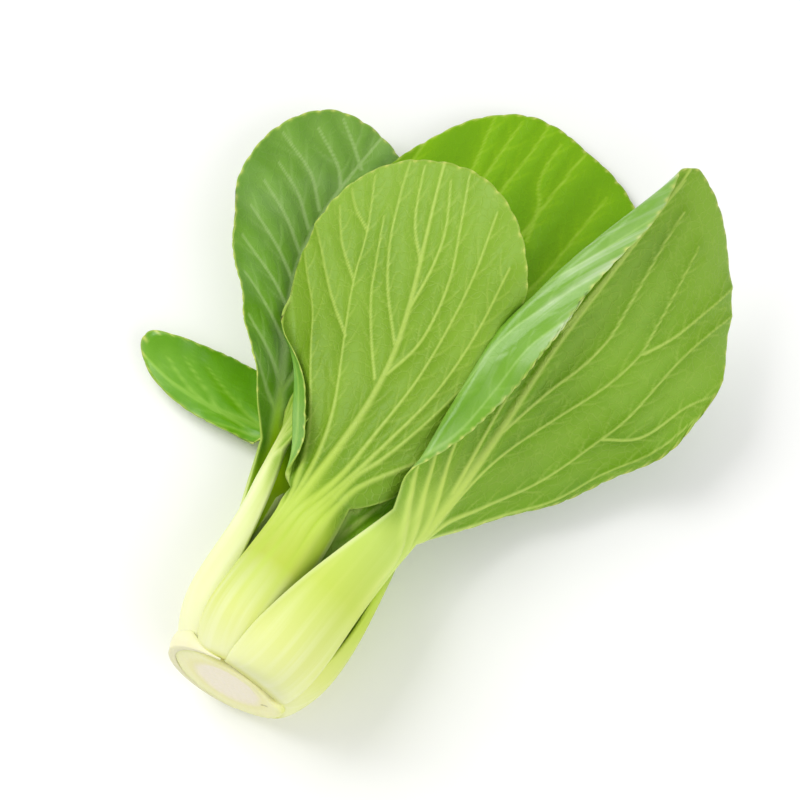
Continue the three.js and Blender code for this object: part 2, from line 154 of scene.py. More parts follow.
def surfaceOf(leaf, spine, x, y):
    # middle surface of a leaf, x along it from the foot and y across it
    s = stationAt(leaf, x)
    widestAt = leaf["stalk"] + leaf["blade"] * leaf["widest"]
    place = {key: np.stack([np.interp(x, spine["x"], spine[key][:, k]) for k in range(3)], -1)
             for key in ("point", "right", "outward")}
    out, down = np.zeros_like(x), np.zeros_like(x)
    for side, here, roll in ((-1, y < 0, leaf["rollLeft"]), (1, y >= 0, leaf["rollRight"])):
        # each half is a chain of arcs: the cup, and a roll or a fold where the leaf has one
        bend = np.radians(alongKeys(leaf["cup"], s)) / halfWidth(leaf, side, np.minimum(x, widestAt))
        arcs = [(np.full_like(x, endless), bend)]
        if roll:
            turned = np.radians(alongKeys(roll["turn"], s))
            arcs = [(alongKeys(roll["start"], s), bend),
                    (np.full_like(x, roll["over"]), bend - turned / roll["over"]),
                    (np.full_like(x, endless), np.zeros_like(x))]
        rest, heading = np.abs(y).copy(), np.zeros_like(x)
        sideOut, sideDown = np.zeros_like(x), np.zeros_like(x)
        for length, curve in arcs:
            run = np.minimum(rest, length)
            curve = np.where(np.abs(curve) < nearlyStraight, nearlyStraight, curve)
            ahead = heading + curve * run
            sideOut += (np.sin(ahead) - np.sin(heading)) / curve
            sideDown += (np.cos(heading) - np.cos(ahead)) / curve
            heading, rest = ahead, rest - run
        out = np.where(here, side * sideOut, out)
        down = np.where(here, sideDown, down)
    points = place["point"] + place["right"] * out[..., None] - place["outward"] * down[..., None]
    # a sagging blade levels out softly where it meets the table
    above = (points[..., 2] - table["clearance"]) / table["blend"]
    points[..., 2] = table["clearance"] + table["blend"] * np.logaddexp(0, above)
    return points


def normalOf(leaf, spine, x, y, reach=0.4):
    across = surfaceOf(leaf, spine, x, y + reach) - surfaceOf(leaf, spine, x, y - reach)
    along = surfaceOf(leaf, spine, x + reach, y) - surfaceOf(leaf, spine, x - reach, y)
    normal = np.cross(across, along)
    return normal / (np.linalg.norm(normal, axis=-1, keepdims=True) + 1e-12)


def leafGrid(leaf):
    # flat coordinates: rows run up the leaf, columns across it, closest at the margins
    tipRows, tipBow, rimRise, pinchSpan = 0.6, 1.6, 6, (1.4, 1.75)
    widestAt = leaf["stalk"] + leaf["blade"] * leaf["widest"]
    tipReach = leaf["blade"] * (1 - leaf["widest"])
    rows = np.linspace(0, widestAt, int((widestAt + tipReach * tipRows) / leaf["rowStep"]))
    even = np.linspace(-1, 1, leaf["columns"])
    t = 0.5 * even + 0.5 * np.sin(even * math.pi / 2)
    power = np.where(t < 0, leaf["round"][0], leaf["round"][1])
    cap = np.sqrt(np.clip(1 - np.abs(t) ** power, 0, 1))
    rise = np.clip((rows - leaf["stalk"]) / (widestAt - leaf["stalk"]), 0, 1)
    x = rows[:, None] + tipReach * cap[None, :] * (rise ** tipBow)[:, None]
    half = np.where(t[None, :] < 0, halfWidth(leaf, -1, rows)[:, None], halfWidth(leaf, 1, rows)[:, None])
    y = half * t[None, :]
    y = np.where(y < 0, y * (1 - leaf["pinch"] * smoothstep(*pinchSpan, stationAt(leaf, x))), y)
    edge = np.maximum(np.abs(t)[None, :], rise[:, None] ** rimRise)
    # shallow teeth round the blade
    centre = leaf["stalk"] + leaf["blade"] * 0.5
    dx = x - centre
    arc = np.arctan2(y, dx) * leaf["blade"] * teeth["walk"]
    notch = np.abs(np.sin(math.pi * arc / teeth["pitch"])) ** teeth["shape"] - teeth["shape"]
    onBlade = smoothstep(*teeth["onset"], rise)[:, None]
    bite = 1 + teeth["depth"] * notch * edge ** teeth["rimOnly"] * onBlade / np.hypot(dx, y)
    return centre + dx * bite, y * bite, np.broadcast_to(t[None, :], x.shape), edge


def smoothPath(points, step=1.2):
    # Catmull-Rom through the given points
    p = np.asarray(points, float)
    padded = np.vstack([2 * p[0] - p[1], p, 2 * p[-1] - p[-2]])
    out = []
    for i in range(len(p) - 1):
        a, b, c, d = padded[i:i + 4]
        n = max(int(np.linalg.norm(c - b) / step), 2)
        t = np.linspace(0, 1, n, endpoint=False)[:, None]
        out.append(0.5 * (2 * b + (c - a) * t + (2 * a - 5 * b + 4 * c - d) * t ** 2
                          + (3 * b - a - 3 * c + d) * t ** 3))
    out.append(p[-1:])
    return np.vstack(out)


def nearPath(x, y, path, reach):
    # distance to a path and how far along it, for the points within reach of it
    low, high = path.min(0) - reach, path.max(0) + reach
    picked = np.nonzero((x > low[0]) & (x < high[0]) & (y > low[1]) & (y < high[1]))[0]
    if len(picked) == 0:
        return picked, None, None
    px, py = x[picked][:, None], y[picked][:, None]
    a, b = path[:-1], path[1:]
    d = b - a
    length2 = (d ** 2).sum(1) + 1e-9
    t = np.clip(((px - a[:, 0]) * d[:, 0] + (py - a[:, 1]) * d[:, 1]) / length2, 0, 1)
    gap = np.hypot(px - (a[:, 0] + t * d[:, 0]), py - (a[:, 1] + t * d[:, 1]))
    best = gap.argmin(1)
    rows = np.arange(len(picked))
    return picked, gap[rows, best], (best + t[rows, best]) / len(d)


def standardVeins(leaf):
    # a fan of side veins for leaves whose faces hardly show
    length = leaf["blade"]
    # start in mm, end and spread of each pair
    fan = ((-6, 0.34, 0.96), (0, 0.55, 0.95), (0.12 * length, 0.75, 0.86), (0.28 * length, 0.89, 0.68),
           (0.46 * length, 0.97, 0.42), (0.64 * length, 1, 0.2))
    veins = []
    for side, wide in ((-1, leaf["left"]), (1, leaf["right"])):
        for start, end, spread in fan:
            x1, y1 = end * length + rng.uniform(-3, 3), side * wide * spread
            veins.append([(start, side * 2), (start + (x1 - start) * 0.33, y1 * 0.5),
                          (start + (x1 - start) * 0.68, y1 * 0.84), (x1, y1)])
    return veins


def ribDown(leaf, path):
    # a vein that starts by the neck runs on down the stalk as a soft rib
    byNeck, mostAside, downStalk, clear = 14, 0.85, (-52, -36, -20), 8
    x0, y0 = path[0]
    if x0 > byNeck:
        return path
    here = float(halfWidth(leaf, 1, np.array([leaf["stalk"] + min(x0, 0)]))[0])
    share = float(np.clip(y0 / here, -mostAside, mostAside))
    extra = [(x, share * float(halfWidth(leaf, 1, np.array([leaf["stalk"] + x]))[0]))
             for x in downStalk if x < x0 - clear]
    return extra + list(path)


twigs = dict(spacing=9, start=4, stop=5, turn=(34, 58), reach=(0.6, 1.25), gap=(0.35, 0.75), bends=4,
             bendBack=0.8)


def branchesOf(path):
    # small veins that leave a vein on alternate sides and bend back along it
    made = []
    if len(path) < 3:
        return made
    lengths = np.concatenate([[0], np.cumsum(np.linalg.norm(np.diff(path, axis=0), axis=1))])
    place, side = rng.uniform(twigs["start"], twigs["spacing"]), rng.choice([-1, 1])
    while place < lengths[-1] - twigs["stop"]:
        i = min(np.searchsorted(lengths, place), len(path) - 2)
        ahead = path[i + 1] - path[i]
        ahead /= np.linalg.norm(ahead) + 1e-9
        turn = math.radians(rng.uniform(*twigs["turn"])) * side
        reach = rng.uniform(*twigs["reach"]) * twigs["spacing"]
        points = [path[i]]
        for bend in range(twigs["bends"]):
            turn *= twigs["bendBack"]
            c, s = math.cos(turn), math.sin(turn)
            heading = np.array([ahead[0] * c - ahead[1] * s, ahead[0] * s + ahead[1] * c])
            points.append(points[-1] + heading * reach / twigs["bends"])
        made.append(np.array(points))
        place += rng.uniform(*twigs["gap"]) * twigs["spacing"]
        side = -side
    return made


# Veins, in mm: wide and soft in the stalk, thin and crisp out in the blade; x counts from the neck.
veinForm = dict(wide=1.9, thinner=1.4, thinSpan=(-30, 50), stalkSpan=(-56, -10), taper=(1.1, 0.25),
                fade=0.25, ridgeExtra=0.45, ridge=(0.5, 0.3), reach=12, fineWide=0.48, fineTaper=(1.1, 0.3),
                fineFade=0.6, fineRidge=0.16, fineReach=3, fineGap=2.5, puffReach=4, branchFrom=4)
ribForm = dict(taper=(0.85, 1.5), bladeWide=1, tipThinner=0.5, height=1, lower=0.65, rise=(0.6, 1.1),
               show=(0.4, 0.9))


def paintVeins(leaf, x, y):
    # masks and heights of the vein network on flat leaf coordinates
    form = veinForm
    shape = x.shape
    x, y = x.ravel() - leaf["stalk"], y.ravel()
    s = stationAt(leaf, x + leaf["stalk"])
    rib = alongKeys(leaf["ribShift"], s)
    ribX = np.linspace(-leaf["stalk"], leaf["blade"] - 4, 60)
    ribPath = np.column_stack([ribX, alongKeys(leaf["ribShift"], stationAt(leaf, ribX + leaf["stalk"]))])
    vein, height, fine = np.zeros_like(x), np.zeros_like(x), np.zeros_like(x)
    gap = np.minimum(form["reach"], np.abs(y - rib))
    main = [smoothPath(ribDown(leaf, points)) for points in leaf["veinPaths"] or standardVeins(leaf)]
    for path in main:
        picked, distance, place = nearPath(x, y, path, form["reach"])
        if not len(picked):
            continue
        thin = form["wide"] - form["thinner"] * smoothstep(*form["thinSpan"], x[picked])
        wide = thin * (form["taper"][0] - form["taper"][1] * place) * leaf["veinWide"]
        rising = smoothstep(*form["stalkSpan"], x[picked])
        line = np.exp(-(distance / wide) ** 2) * rising
        ridge = np.exp(-(distance / (wide + form["ridgeExtra"])) ** 2) * rising
        vein[picked] = np.maximum(vein[picked], line * (1 - form["fade"] * place))
        height[picked] = np.maximum(height[picked], form["ridge"][0] * (wide + form["ridge"][1]) * ridge)
        gap[picked] = np.minimum(gap[picked], distance)
    for path in [ribPath[ribPath[:, 0] > 0]] + main:
        for branch in branchesOf(path[path[:, 0] > form["branchFrom"]]):
            picked, distance, place = nearPath(x, y, branch, form["fineReach"])
            if not len(picked):
                continue
            thin = form["fineTaper"][0] - form["fineTaper"][1] * place
            wide = form["fineWide"] * thin * leaf["veinWide"]
            line = np.exp(-(distance / wide) ** 2) * (1 - form["fineFade"] * place)
            fine[picked] = np.maximum(fine[picked], line)
            height[picked] = np.maximum(height[picked], form["fineRidge"] * line)
            gap[picked] = np.minimum(gap[picked], distance + form["fineGap"])
    # the midrib itself: broad at the neck, a thin line by the tip
    taper = smoothstep(*ribForm["taper"], s)
    ribWide = leaf["ribWide"] * (1 - taper)
    ribWide += ribForm["bladeWide"] * taper * (1 - ribForm["tipThinner"] * smoothstep(1.5, 2, s))
    ribMask = np.exp(-((y - rib) / ribWide) ** 2)
    ribHeight = ribMask * (ribForm["height"] - ribForm["lower"] * taper)
    height = np.maximum(height, ribHeight * smoothstep(*ribForm["rise"], s))
    return {"vein": np.maximum(vein, ribMask * smoothstep(*ribForm["show"], s)).reshape(shape),
            "height": height.reshape(shape), "fine": fine.reshape(shape),
            "puff": (1 - np.exp(-(gap / form["puffReach"]) ** 2)).reshape(shape), "rib": rib.reshape(shape)}


def meshObject(name, points, faces, values, uv=None, slots=None):
    # builds a smooth mesh from points in the head's frame
    mesh = bpy.data.meshes.new(name)
    mesh.from_pydata(toRow(points).tolist(), [], faces.tolist(), shade_flat=False)
    if slots is not None:
        mesh.polygons.foreach_set("material_index", slots)
    mesh.validate()
    if uv is not None:
        layer = mesh.uv_layers.new(name="leafUv")
        layer.data.foreach_set("uv", uv[faces.ravel()].astype(np.float32).ravel())
    for key, value in values.items():
        layer = mesh.attributes.new(key, "FLOAT", "POINT")
        layer.data.foreach_set("value", value.astype(np.float32).ravel())
    made = bpy.data.objects.new(name, mesh)
    bpy.context.collection.objects.link(made)
    return made


def gridFaces(rows, columns, start=0, flip=False):
    i, j = np.meshgrid(np.arange(rows - 1), np.arange(columns - 1), indexing="ij")
    a = (start + i * columns + j).ravel()
    quads = np.column_stack([a, a + 1, a + columns + 1, a + columns])
    return quads[:, ::-1] if flip else quads


def shellFaces(rows, columns):
    # outer grid, inner grid and the rim between them; 0 marks outer, 1 inner
    outer = gridFaces(rows, columns)
    inner = gridFaces(rows, columns, rows * columns, True)
    rim = np.concatenate([np.arange(columns - 1), np.arange(rows - 1) * columns + columns - 1,
                          (rows - 1) * columns + np.arange(columns - 1, 0, -1),
                          np.arange(rows - 1, 0, -1) * columns])
    after = np.roll(rim, -1)
    edge = np.column_stack([rim + rows * columns, after + rows * columns, after, rim])
    return np.vstack([outer, inner, edge]), [0] * len(outer) + [1] * len(inner) + [0] * len(edge)


# Thickness in mm: a swollen stalk, a crown over the midrib, a thin blade.
flesh = dict(fullness=(0.8, 1, 0.5, 0.26, 0), fullnessAt=(0, 0.3, 1, 1.3, 2), skins=1.8,
             bladeSpan=(0.8, 1.12), crownWide=(5, 1.4), crownHigh=0.8, stalkMargin=0.9, bladeMargin=0.3,
             outerShare=0.7, innerShare=0.3, veinsInside=0.3, footRound=1.6, footBack=0.1)
unevenness = dict(harmonic=0.5, rimOnly=4, swell=0.7, long=23, wide=17)


def waviness(leaf, x, y, t, blade, puff):
    # slow waves at the margins, a gentle swell over the face, and quilting between the veins
    form, side, phase, turns = unevenness, np.sign(y), leaf["phase"], x / leaf["wave"]
    wave = np.sin(turns * 2 * math.pi + phase + side * 1.1)
    wave += form["harmonic"] * np.sin(turns * 4.7 + phase * 2.3 + side * 2)
    relief = leaf["ruffle"] * wave * np.abs(t) ** form["rimOnly"] * blade
    swell = form["swell"] * np.sin(x / form["long"] + phase) * np.sin(y / form["wide"] + phase * 1.7)
    relief += swell * blade
    return relief - leaf["quilt"] * puff * blade


def leafSkins(leaf):
    spine = spineOf(leaf)
    x, y, t, edge = leafGrid(leaf)
    s = stationAt(leaf, x)
    blade = smoothstep(1, 1.25, s)
    marks = paintVeins(leaf, x, y)
    points = surfaceOf(leaf, spine, x, y)
    normal = normalOf(leaf, spine, x, y)
    points = points + normal * waviness(leaf, x, y, t, blade, marks["puff"])[..., None]
    swell = (leaf["thick"] - flesh["skins"]) * alongKeys(flesh["fullness"], s, flesh["fullnessAt"])
    share = np.clip(np.abs(t), 0, 1)
    stalkCrown = swell * (1 - share ** 2)
    wide, narrow = flesh["crownWide"]
    spread = wide + (narrow - wide) * np.clip((s - 1) * 1.5, 0, 1)
    bladeCrown = flesh["crownHigh"] * swell / (1 + ((y - marks["rib"]) / spread) ** 2)
    mix = smoothstep(*flesh["bladeSpan"], s)
    crown = stalkCrown * (1 - mix) + bladeCrown * mix
    margin = (flesh["stalkMargin"] * (1 - mix) + flesh["bladeMargin"] * mix) * (1 - 0.5 * edge ** 12)
    outerLift = margin + crown * flesh["outerShare"] + marks["height"] * smoothstep(0.35, 1, s)
    innerLift = margin + crown * flesh["innerShare"] * (1 - mix)
    innerLift -= marks["height"] * flesh["veinsInside"] * blade
    outer = points + normal * outerLift[..., None]
    inner = points - normal * innerLift[..., None]
    for skin in (outer, inner):
        skin[..., 2] = np.maximum(skin[..., 2], table["lowest"])
        # the knife's leaning plane went through the feet; their cut edges are a little rounded
        flush = (skin[..., 2] - axisHeight) * math.tan(knife["tilt"]) - knife["drop"] + flesh["footBack"]
        past = (skin[..., 1] - flush) / flesh["footRound"]
        skin[..., 1] = flush + flesh["footRound"] * np.logaddexp(0, past)
    return x, y, share, edge, s, marks, outer, inner


def rimMarks(x, y, edge, stalkLength):
    # distance to the margin, counted only near it, and dots round the blade
    flatX, flatY = x.ravel(), y.ravel()
    farFromRim, nearRim, batch = 6.0, 0.75, 4000
    border = np.vstack([np.column_stack([x[:, 0], y[:, 0]]), np.column_stack([x[-1], y[-1]]),
                        np.column_stack([x[::-1, -1], y[::-1, -1]])])
    near = np.nonzero(edge.ravel() > nearRim)[0]
    toEdge = np.full(flatX.shape, farFromRim)
    for part in np.array_split(near, max(len(near) // batch, 1)):
        gap = np.hypot(flatX[part][:, None] - border[:, 0], flatY[part][:, None] - border[:, 1])
        toEdge[part] = np.minimum(gap.min(1), farFromRim)
    dots = np.zeros_like(flatX)
    walk = np.concatenate([[0], np.cumsum(np.hypot(*np.diff(border, axis=0).T))])
    for place in np.arange(3, walk[-1], teeth["pitch"] * teeth["dotEvery"]):
        dot = np.array([np.interp(place, walk, border[:, k]) for k in (0, 1)])
        if dot[0] > stalkLength * teeth["dotFrom"]:
            gap = np.hypot(flatX[near] - dot[0], flatY[near] - dot[1])
            dots[near] = np.maximum(dots[near], np.exp(-(gap / teeth["dotWide"]) ** 2))
    return toEdge, dots


uvSpan = 100      # mm of leaf to one unit of its map


def makeLeaf(leaf):
    x, y, share, edge, s, marks, outer, inner = leafSkins(leaf)
    toEdge, dots = rimMarks(x, y, edge, leaf["stalk"])
    # the pale stalk reaches furthest up the midrib and the veins, least at the margins
    stalk = 1 - smoothstep(0.84, 1.14, s + 0.16 * share - 0.14 * marks["vein"] - leaf["paleNeck"])
    values = {"along": s, "vein": marks["vein"], "fine": marks["fine"], "puff": marks["puff"],
              "stalk": stalk, "toEdge": toEdge, "dots": dots, "across": share}
    values = {key: np.tile(np.asarray(value).ravel(), 2) for key, value in values.items()}
    uv = np.tile(np.column_stack([x.ravel(), y.ravel()]) / uvSpan, (2, 1))
    faces, slots = shellFaces(*x.shape)
    points = np.vstack([outer.reshape(-1, 3), inner.reshape(-1, 3)])
    return meshObject(leaf["name"], points, faces, values, uv, slots)


def addNode(tree, kind, inputs=None, stops=None, **settings):
    # inputs are values, hex colours or links; stops fill a colour ramp
    made = tree.nodes.new("ShaderNode" + kind)
    for key, value in settings.items():
        setattr(made, key, value)
    for key, value in (inputs or {}).items():
        if isinstance(value, bpy.types.NodeSocket):
            tree.links.new(value, made.inputs[key])
        else:
            made.inputs[key].default_value = linear(value) if isinstance(value, str) else value
    if stops:
        while len(made.color_ramp.elements) < len(stops):
            made.color_ramp.elements.new(0.5)
        for element, (position, tone) in zip(made.color_ramp.elements, stops):
            element.position = position
            element.color = linear(tone)
    return made


def newMaterial(name):
    made = bpy.data.materials.new(name)
    made.use_nodes = True
    made.node_tree.nodes.clear()
    return made, made.node_tree


def finishMaterial(tree, height, bump, deepest, shading):
    # relief too small for the mesh, then the shader and the output; deepest is in mm
    relief = addNode(tree, "Bump", {"Height": height, "Strength": bump, "Distance": deepest * mm})
    shader = addNode(tree, "BsdfPrincipled", dict(shading, Normal=relief.outputs[0]))
    addNode(tree, "OutputMaterial", {"Surface": shader.outputs[0]})


# Real sizes of a leaf's patterns and how deep its finest relief and glow go, in mm.
pattern = dict(patch=31.25, streakLong=111.1, streakWide=2.941, warp=4.545, warpShare=0.035, cell=2.941,
               wall=0.09, grain=0.4167, grainLift=0.18, streakLift=0.8, bump=0.4, glow=2)


def leafFinish(name, look):
    # fresh leaf: a green blade with a soft waxy sheen, whose pale veins gather into a moist, ribbed stalk
    material, tree = newMaterial(name)
    read = {key: addNode(tree, "Attribute", attribute_name=key).outputs["Fac"]
            for key in ("along", "vein", "fine", "puff", "stalk", "toEdge", "dots", "across")}
    uv = addNode(tree, "UVMap", uv_map="leafUv").outputs["UV"]
    stretch = (uvSpan / pattern["streakLong"], uvSpan / pattern["streakWide"], 1)
    stretched = addNode(tree, "Mapping", {"Vector": uv, "Scale": stretch}).outputs[0]
    noises = dict(patch={"Vector": uv, "Scale": uvSpan / pattern["patch"], "Detail": 3, "Roughness": 0.55},
                  streak={"Vector": stretched, "Scale": 1, "Detail": 4},
                  warp={"Vector": uv, "Scale": uvSpan / pattern["warp"], "Detail": 2},
                  grain={"Vector": uv, "Scale": uvSpan / pattern["grain"], "Detail": 2})
    noise = {key: addNode(tree, "TexNoise", inputs) for key, inputs in noises.items()}
    patch, streak, grain = (noise[key].outputs["Fac"] for key in ("patch", "streak", "grain"))
    warped = addNode(tree, "Mix", {
        0: pattern["warpShare"], 4: uv, 5: noise["warp"].outputs["Color"]}, data_type="VECTOR")
    cells = addNode(tree, "TexVoronoi", {
        "Vector": warped.outputs[1], "Scale": uvSpan / pattern["cell"]}, feature="DISTANCE_TO_EDGE")

    # masks: each takes what it reads from one range to another
    spans = dict(
        bright=(patch, 0.35, 0.68, 0, 1), tip=(read["along"], 1.4, 1.98, 0, 0.6),
        byNeck=(read["along"], 1.5, 1.05, 0, look["neckShade"]),
        wall=(cells.outputs["Distance"], 0, pattern["wall"], 1, 0),
        fine=(read["fine"], 0.15, 0.8, 0, look["fine"]), vein=(read["vein"], 0.15, 0.78, 0, look["vein"]),
        rim=(read["toEdge"], 0, 0.8, look["rim"], 0), edging=(read["across"], 0.88, 1, 0, look["edging"]),
        fibre=(streak, 0.35, 0.65, -0.25, 0.3), bloomAndSheen=(patch, 0.5, 0.75, 0, look["bloomAndSheen"]),
        paintedSheenStreak=(streak, 0.48, 0.72, 0, 1), paintedSheenPatch=(patch, 0.42, 0.6, 0, 1),
        paintedSheenReach=(read["along"], 1.25, 1.6, 0, look["paintedSheen"]),
        rough=(patch, 0.3, 0.7, look["rough"] - 0.06, look["rough"] + 0.08))
    mask = {key: addNode(tree, "MapRange", dict(enumerate(span))).outputs[0] for key, span in spans.items()}
    mask["dots"] = read["dots"]
    # and some are the product of two; between marks the quilted lamina away from the veins, painted shade
    # where its colour is darker and painted light where it is lighter, and neck is painted shade by the neck
    products = (("between", read["puff"], look["puffLightAndShade"]), ("neck", read["puff"], mask["byNeck"]),
                ("net", mask["wall"], look["net"]), ("netLift", mask["wall"], look["netHeight"]),
                ("streakLift", streak, pattern["streakLift"]), ("half", read["along"], 0.5),
                ("paintedSheenBand", mask["paintedSheenStreak"], mask["paintedSheenReach"]))
    for key, a, b in products:
        mask[key] = addNode(tree, "Math", {0: a, 1: b}, operation="MULTIPLY").outputs[0]
    paintedSheen = addNode(tree, "Math", {0: mask["paintedSheenBand"], 1: mask["paintedSheenPatch"]}, operation="MULTIPLY")

    # blade: patchy and duller towards the tip, with painted shade by the neck, its vein network and pale
    # margin
    blade = addNode(tree, "Mix", {0: mask["bright"], 6: look["blade"][0], 7: look["blade"][1]},
                    data_type="RGBA")
    for key, tone in (("tip", "tip"), ("between", "between"), ("neck", "neck"), ("net", "veins"),
                      ("fine", "veins"), ("vein", "veins"), ("rim", "rimColour"), ("dots", "dots")):
        blade = addNode(tree, "Mix", {0: mask[key], 6: blade.outputs[2], 7: look[tone]}, data_type="RGBA")
    # stalk: pale ribs with greener grooves between them, both fading to cream at the foot
    ribs, grooves = (addNode(tree, "ValToRGB", {0: mask["half"]}, stops=look[key]).outputs["Color"]
                     for key in ("stalk", "groove"))
    onRib = addNode(tree, "Math", {0: mask["fibre"], 1: read["vein"]}, operation="ADD", use_clamp=True)
    stalk = addNode(tree, "Mix", {0: onRib.outputs[0], 6: grooves, 7: ribs}, data_type="RGBA")
    stalk = addNode(tree, "Mix", {0: mask["edging"], 6: stalk.outputs[2], 7: look["stalkEdge"]},
                    data_type="RGBA")
    skin = addNode(tree, "Mix", {0: read["stalk"], 6: blade.outputs[2], 7: stalk.outputs[2]},
                   data_type="RGBA")
    juicy = addNode(tree, "HueSaturation", {"Color": skin.outputs[2], "Saturation": look["juice"]})
    colour = juicy.outputs[0]
    # a thin waxy bloom that dulls the upper side in patches, partly a painted sheen, and streaks of painted
    # sheen on the outer blade where a fold catches the light
    for factor, tone in ((mask["bloomAndSheen"], look["bloomAndSheenColour"]), (paintedSheen.outputs[0], look["paintedSheenColour"])):
        colour = addNode(tree, "Mix", {0: factor, 6: colour, 7: tone}, data_type="RGBA").outputs[2]

    # grain and a net of small veins stand up on the blade, fibres on the stalk
    bladeLift = addNode(tree, "Math", {0: grain, 1: pattern["grainLift"], 2: mask["netLift"]},
                        operation="MULTIPLY_ADD").outputs[0]
    height = addNode(tree, "Mix", {0: read["stalk"], 2: bladeLift, 3: mask["streakLift"]},
                     data_type="FLOAT").outputs[0]
    finishMaterial(tree, height, look["bump"], pattern["bump"], {
        "Base Color": colour, "Roughness": mask["rough"], "IOR": 1.42, "Specular IOR Level": look["shine"],
        "Subsurface Weight": look["glow"], "Subsurface Radius": (0.9, 1, 0.35),
        "Subsurface Scale": pattern["glow"] * mm, "Coat Weight": look["coat"],
        "Coat Roughness": 0.24, "Sheen Weight": look["sheen"], "Sheen Roughness": 0.45,
        "Sheen Tint": linear("#e6f0e8")})
    return material


# What each side of a leaf looks like: the under side, and what the upper side changes.
# the pale bloom patches and the fold streaks in these looks are painted sheen
underLook = dict(
    blade=("#86ab38", "#94b844"), tip="#93b848", between="#7a9f32", puffLightAndShade=0.5, neck="#668a22",
    neckShade=0.65, veins="#b9d06b", vein=0.72, fine=0.24, net=0.12, netHeight=0.8, rim=0.6,
    rimColour="#b4cc66", dots="#d0d878", edging=0.5, stalkEdge="#eef3c4", bloomAndSheen=0, bloomAndSheenColour="#c9d8bd",
    paintedSheen=0, paintedSheenColour="#dde8cf", juice=1.06, rough=0.48, coat=0.04, shine=0.35, sheen=0, glow=0.1,
    bump=0.35, stalk=((0, "#dfe08c"), (0.025, "#f2f3d2"), (0.13, "#eef2c8"), (0.28, "#bfcd5c"),
                      (0.42, "#c6dc6c"), (0.55, "#bad45c")),
    groove=((0, "#dadc82"), (0.025, "#e9ecb6"), (0.13, "#dae288"), (0.28, "#c0d65c"), (0.42, "#b4d04e"),
            (0.55, "#9abb3c")))
upperLook = dict(
    underLook, blade=("#669a2c", "#76a834"), tip="#7cac3c", between="#5c9026", neck="#4f821c",
    veins="#a3c860", vein=0.5, fine=0.16, net=0.05, netHeight=0.4, edging=0.25, bloomAndSheen=0.06, rough=0.36,
    coat=0.2, shine=0.4, stalk=((0, "#e4eaa4"), (0.15, "#bfd558"), (0.5, "#94b92e")),
    groove=((0, "#dbe494"), (0.15, "#a5c238"), (0.5, "#7ba41a")))
# lime-green inner stalk, its base colour pushed brighter than its own as painted light, standing in for
# light shining through it in deep shade
limeStalk = dict(stalk=((0, "#eef2b0"), (0.15, "#dcf060"), (0.5, "#bcea20")),
                 groove=((0, "#e4ea9c"), (0.15, "#d0ea40"), (0.5, "#aee00c")))
heartLook = dict(blade=("#86be2e", "#a0d444"), neck="#7ab022", neckShade=0.3, veins="#cbe57c")

# One dictionary a leaf, lengths in mm and turns in degrees. Lean, sweep, twist and cup are keyed at the
# stations. A roll starts so far out and turns so much over its width. Vein paths count from the neck.
# the right leaf's under side is paler between its veins: painted light on the quilted panels
rightLeaf = dict(
    name="right_leaf", around=48, radius=16, stalk=76, blade=155, thick=8, lean=(52, 8, 2, 26, 8),
    sweep=(4, -7, -14, 4, -5), twist=(0, -4, -14, 21, 0), base=29, mid=35.5, neck=16.5, left=41, right=56,
    widest=0.6, round=(1.12, 2.3), pinch=0.33, cup=(45, 65, 12, 10, 34), rowStep=0.8, columns=186,
    phase=0.6, ruffle=1, ribShift=(0, 4, 8.5, -1, -3), ribWide=3.2, paleNeck=0.12,
    rollLeft=dict(start=(30, 25, 12, 16, 2.5), over=7, turn=(0, 0, 150, 156, 170)),
    under=dict(blade=("#648f1a", "#7ba62e"), tip="#7fa436", between="#88ad42", puffLightAndShade=0.75,
        neckShade=0.3, stalk=((0, "#dfe08c"), (0.025, "#f2f3d2"), (0.13, "#f0f3cc"), (0.28, "#d6e17a"),
        (0.42, "#d2e486"), (0.55, "#c4da6c")), groove=((0, "#dadc82"), (0.025, "#e9ecb6"),
        (0.13, "#dfe694"), (0.28, "#c8da68"), (0.42, "#c6dd72"), (0.55, "#b4d060"))),
    upper=dict(blade=("#76a63a", "#82b046"), tip="#8ab25c", between="#6c9d32", veins="#a6cb72", net=0,
        netHeight=0.2, bloomAndSheen=0.16, paintedSheen=0.6, coat=0.25),
    veinPaths=[
        [(46, 4), (66, 7), (79, 10), (92, 11), (106, 9), (127, 6), (140, 5)],
        [(-4, 9), (20, 8.5), (40, 10), (60, 15), (80, 21), (94, 23), (102, 22), (118, 20), (136, 18)],
        [(95, 24), (105, 29), (118, 34), (136, 42)],
        [(-6, 9.5), (11, 12), (25, 20), (38, 26), (51, 30), (63, 32), (76, 34), (100, 36), (113, 40),
         (128, 48)],
        [(65, 33), (73, 42), (90, 49), (100, 56)],
        [(-8, 7), (6, 14), (22, 25), (40, 36), (54, 42), (66, 47), (78, 51), (92, 56)],
        [(20, 5), (50, -2), (90, -8), (120, -9), (146, -8)],
        [(6, 6), (30, -6), (60, -14), (100, -20), (140, -17)],
        [(-4, 6), (16, -6), (40, -17), (80, -25), (120, -27)],
        [(-8, 3), (8, -8), (30, -22), (60, -31), (95, -34)],
        [(84, -3), (104, -3), (128, -3), (148, -2)]])
leftLeaf = dict(
    name="left_leaf", around=164, foot=3.8, radius=16.3, stalk=74, blade=58, thick=7,
    lean=(33, -2, 5.5, -5, 0), sweep=(1, 2, 9, 15, 12), twist=(0, 5, -6, -46, -60), base=20, mid=23, neck=9,
    left=9, right=12, widest=0.55, cup=(72, 67, 26, 30, 10), rowStep=1, columns=80, phase=1.9,
    under=dict(stalk=((0, "#f3f2d2"), (0.13, "#f4f5d2"), (0.3, "#f2f5cc"), (0.5, "#e2eca0")),
        groove=((0, "#eff0c4"), (0.13, "#edf1ba"), (0.3, "#e4ecaa"), (0.5, "#bcd45a"))))
